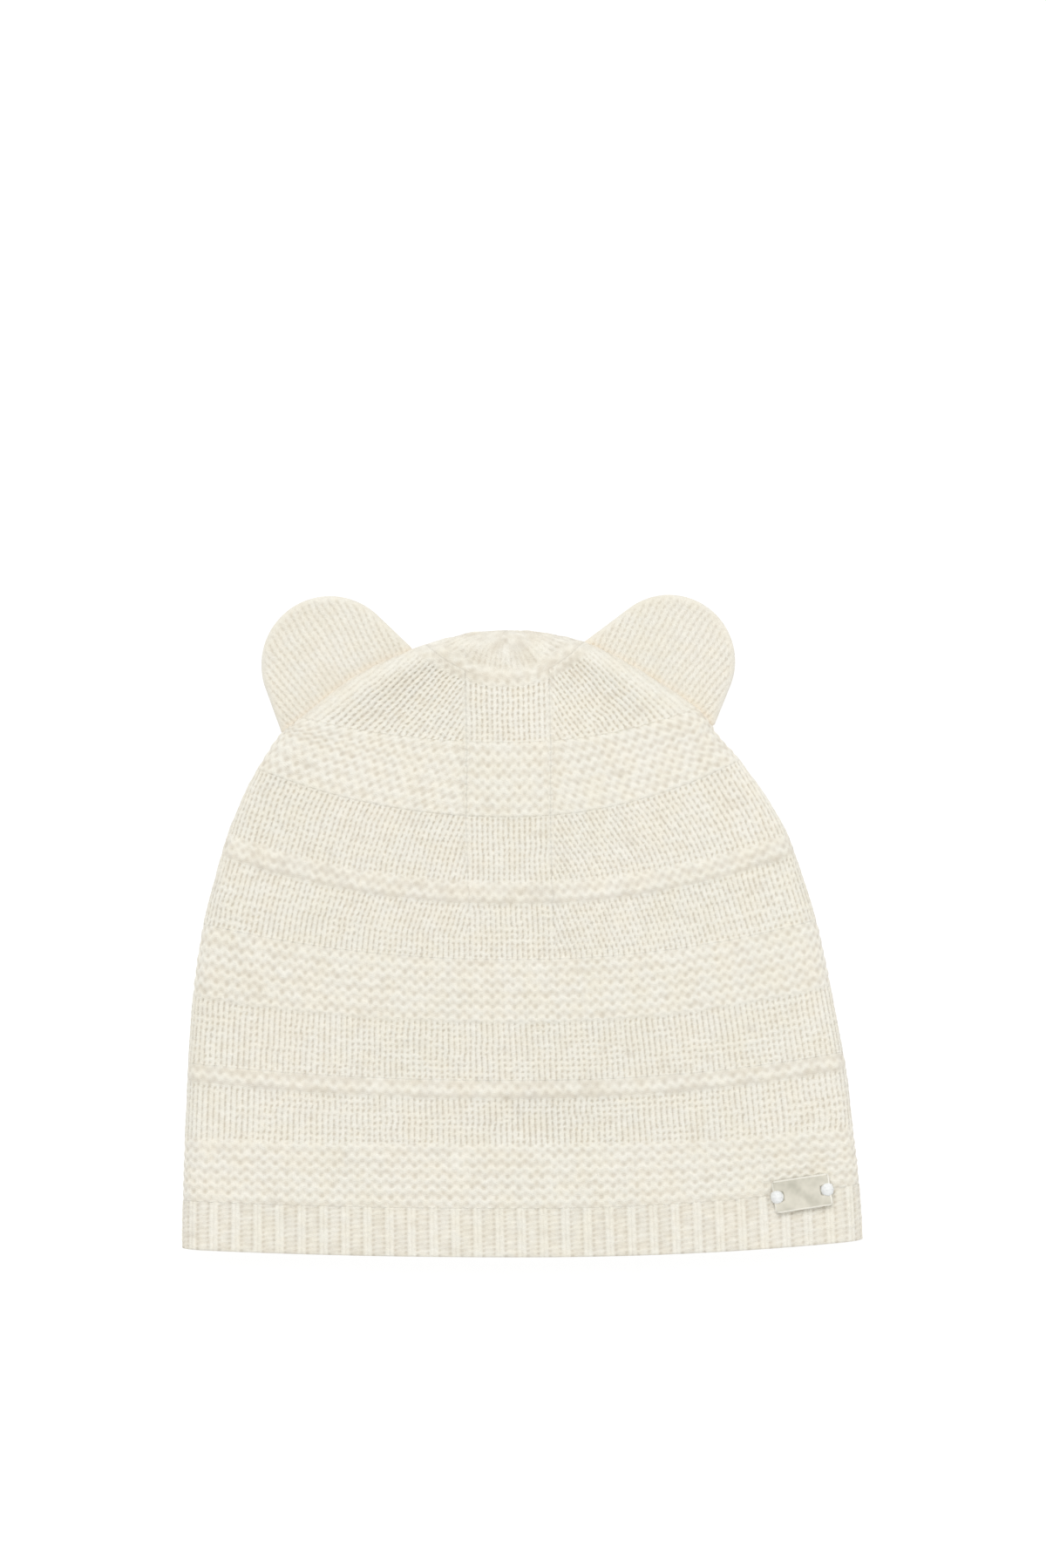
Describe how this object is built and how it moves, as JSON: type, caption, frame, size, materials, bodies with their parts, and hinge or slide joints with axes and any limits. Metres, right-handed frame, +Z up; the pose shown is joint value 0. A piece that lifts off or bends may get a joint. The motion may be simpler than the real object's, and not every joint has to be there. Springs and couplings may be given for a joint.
{
  "type": "baby hat with ears",
  "caption": "Cream knitted baby hat with round ears, ribbed hem, garter-stitch stripes, raised welts and a small blank metal plate, lying flat.",
  "frame": {"origin": "on the surface that the hat lies on, under the middle of its bounding box", "axes": "+X to the right across the front panel, +Y from the hem to the crown, +Z up off the surface"},
  "size_m": [0.19, 0.1848, 0.0196],
  "materials": {
    "knit": "soft fine wool knit, cream, matt with a light halo",
    "plate": "pale champagne metal, finely brushed, bevelled edge",
    "thread": "white sewing thread"
  },
  "bodies": {
    "root": {"crown": "knit", "rib_hem": "knit", "ear_left": "knit", "ear_right": "knit", "tag_plate": "plate", "tack_left": "thread", "tack_right": "thread"}
  },
  "joints": []
}
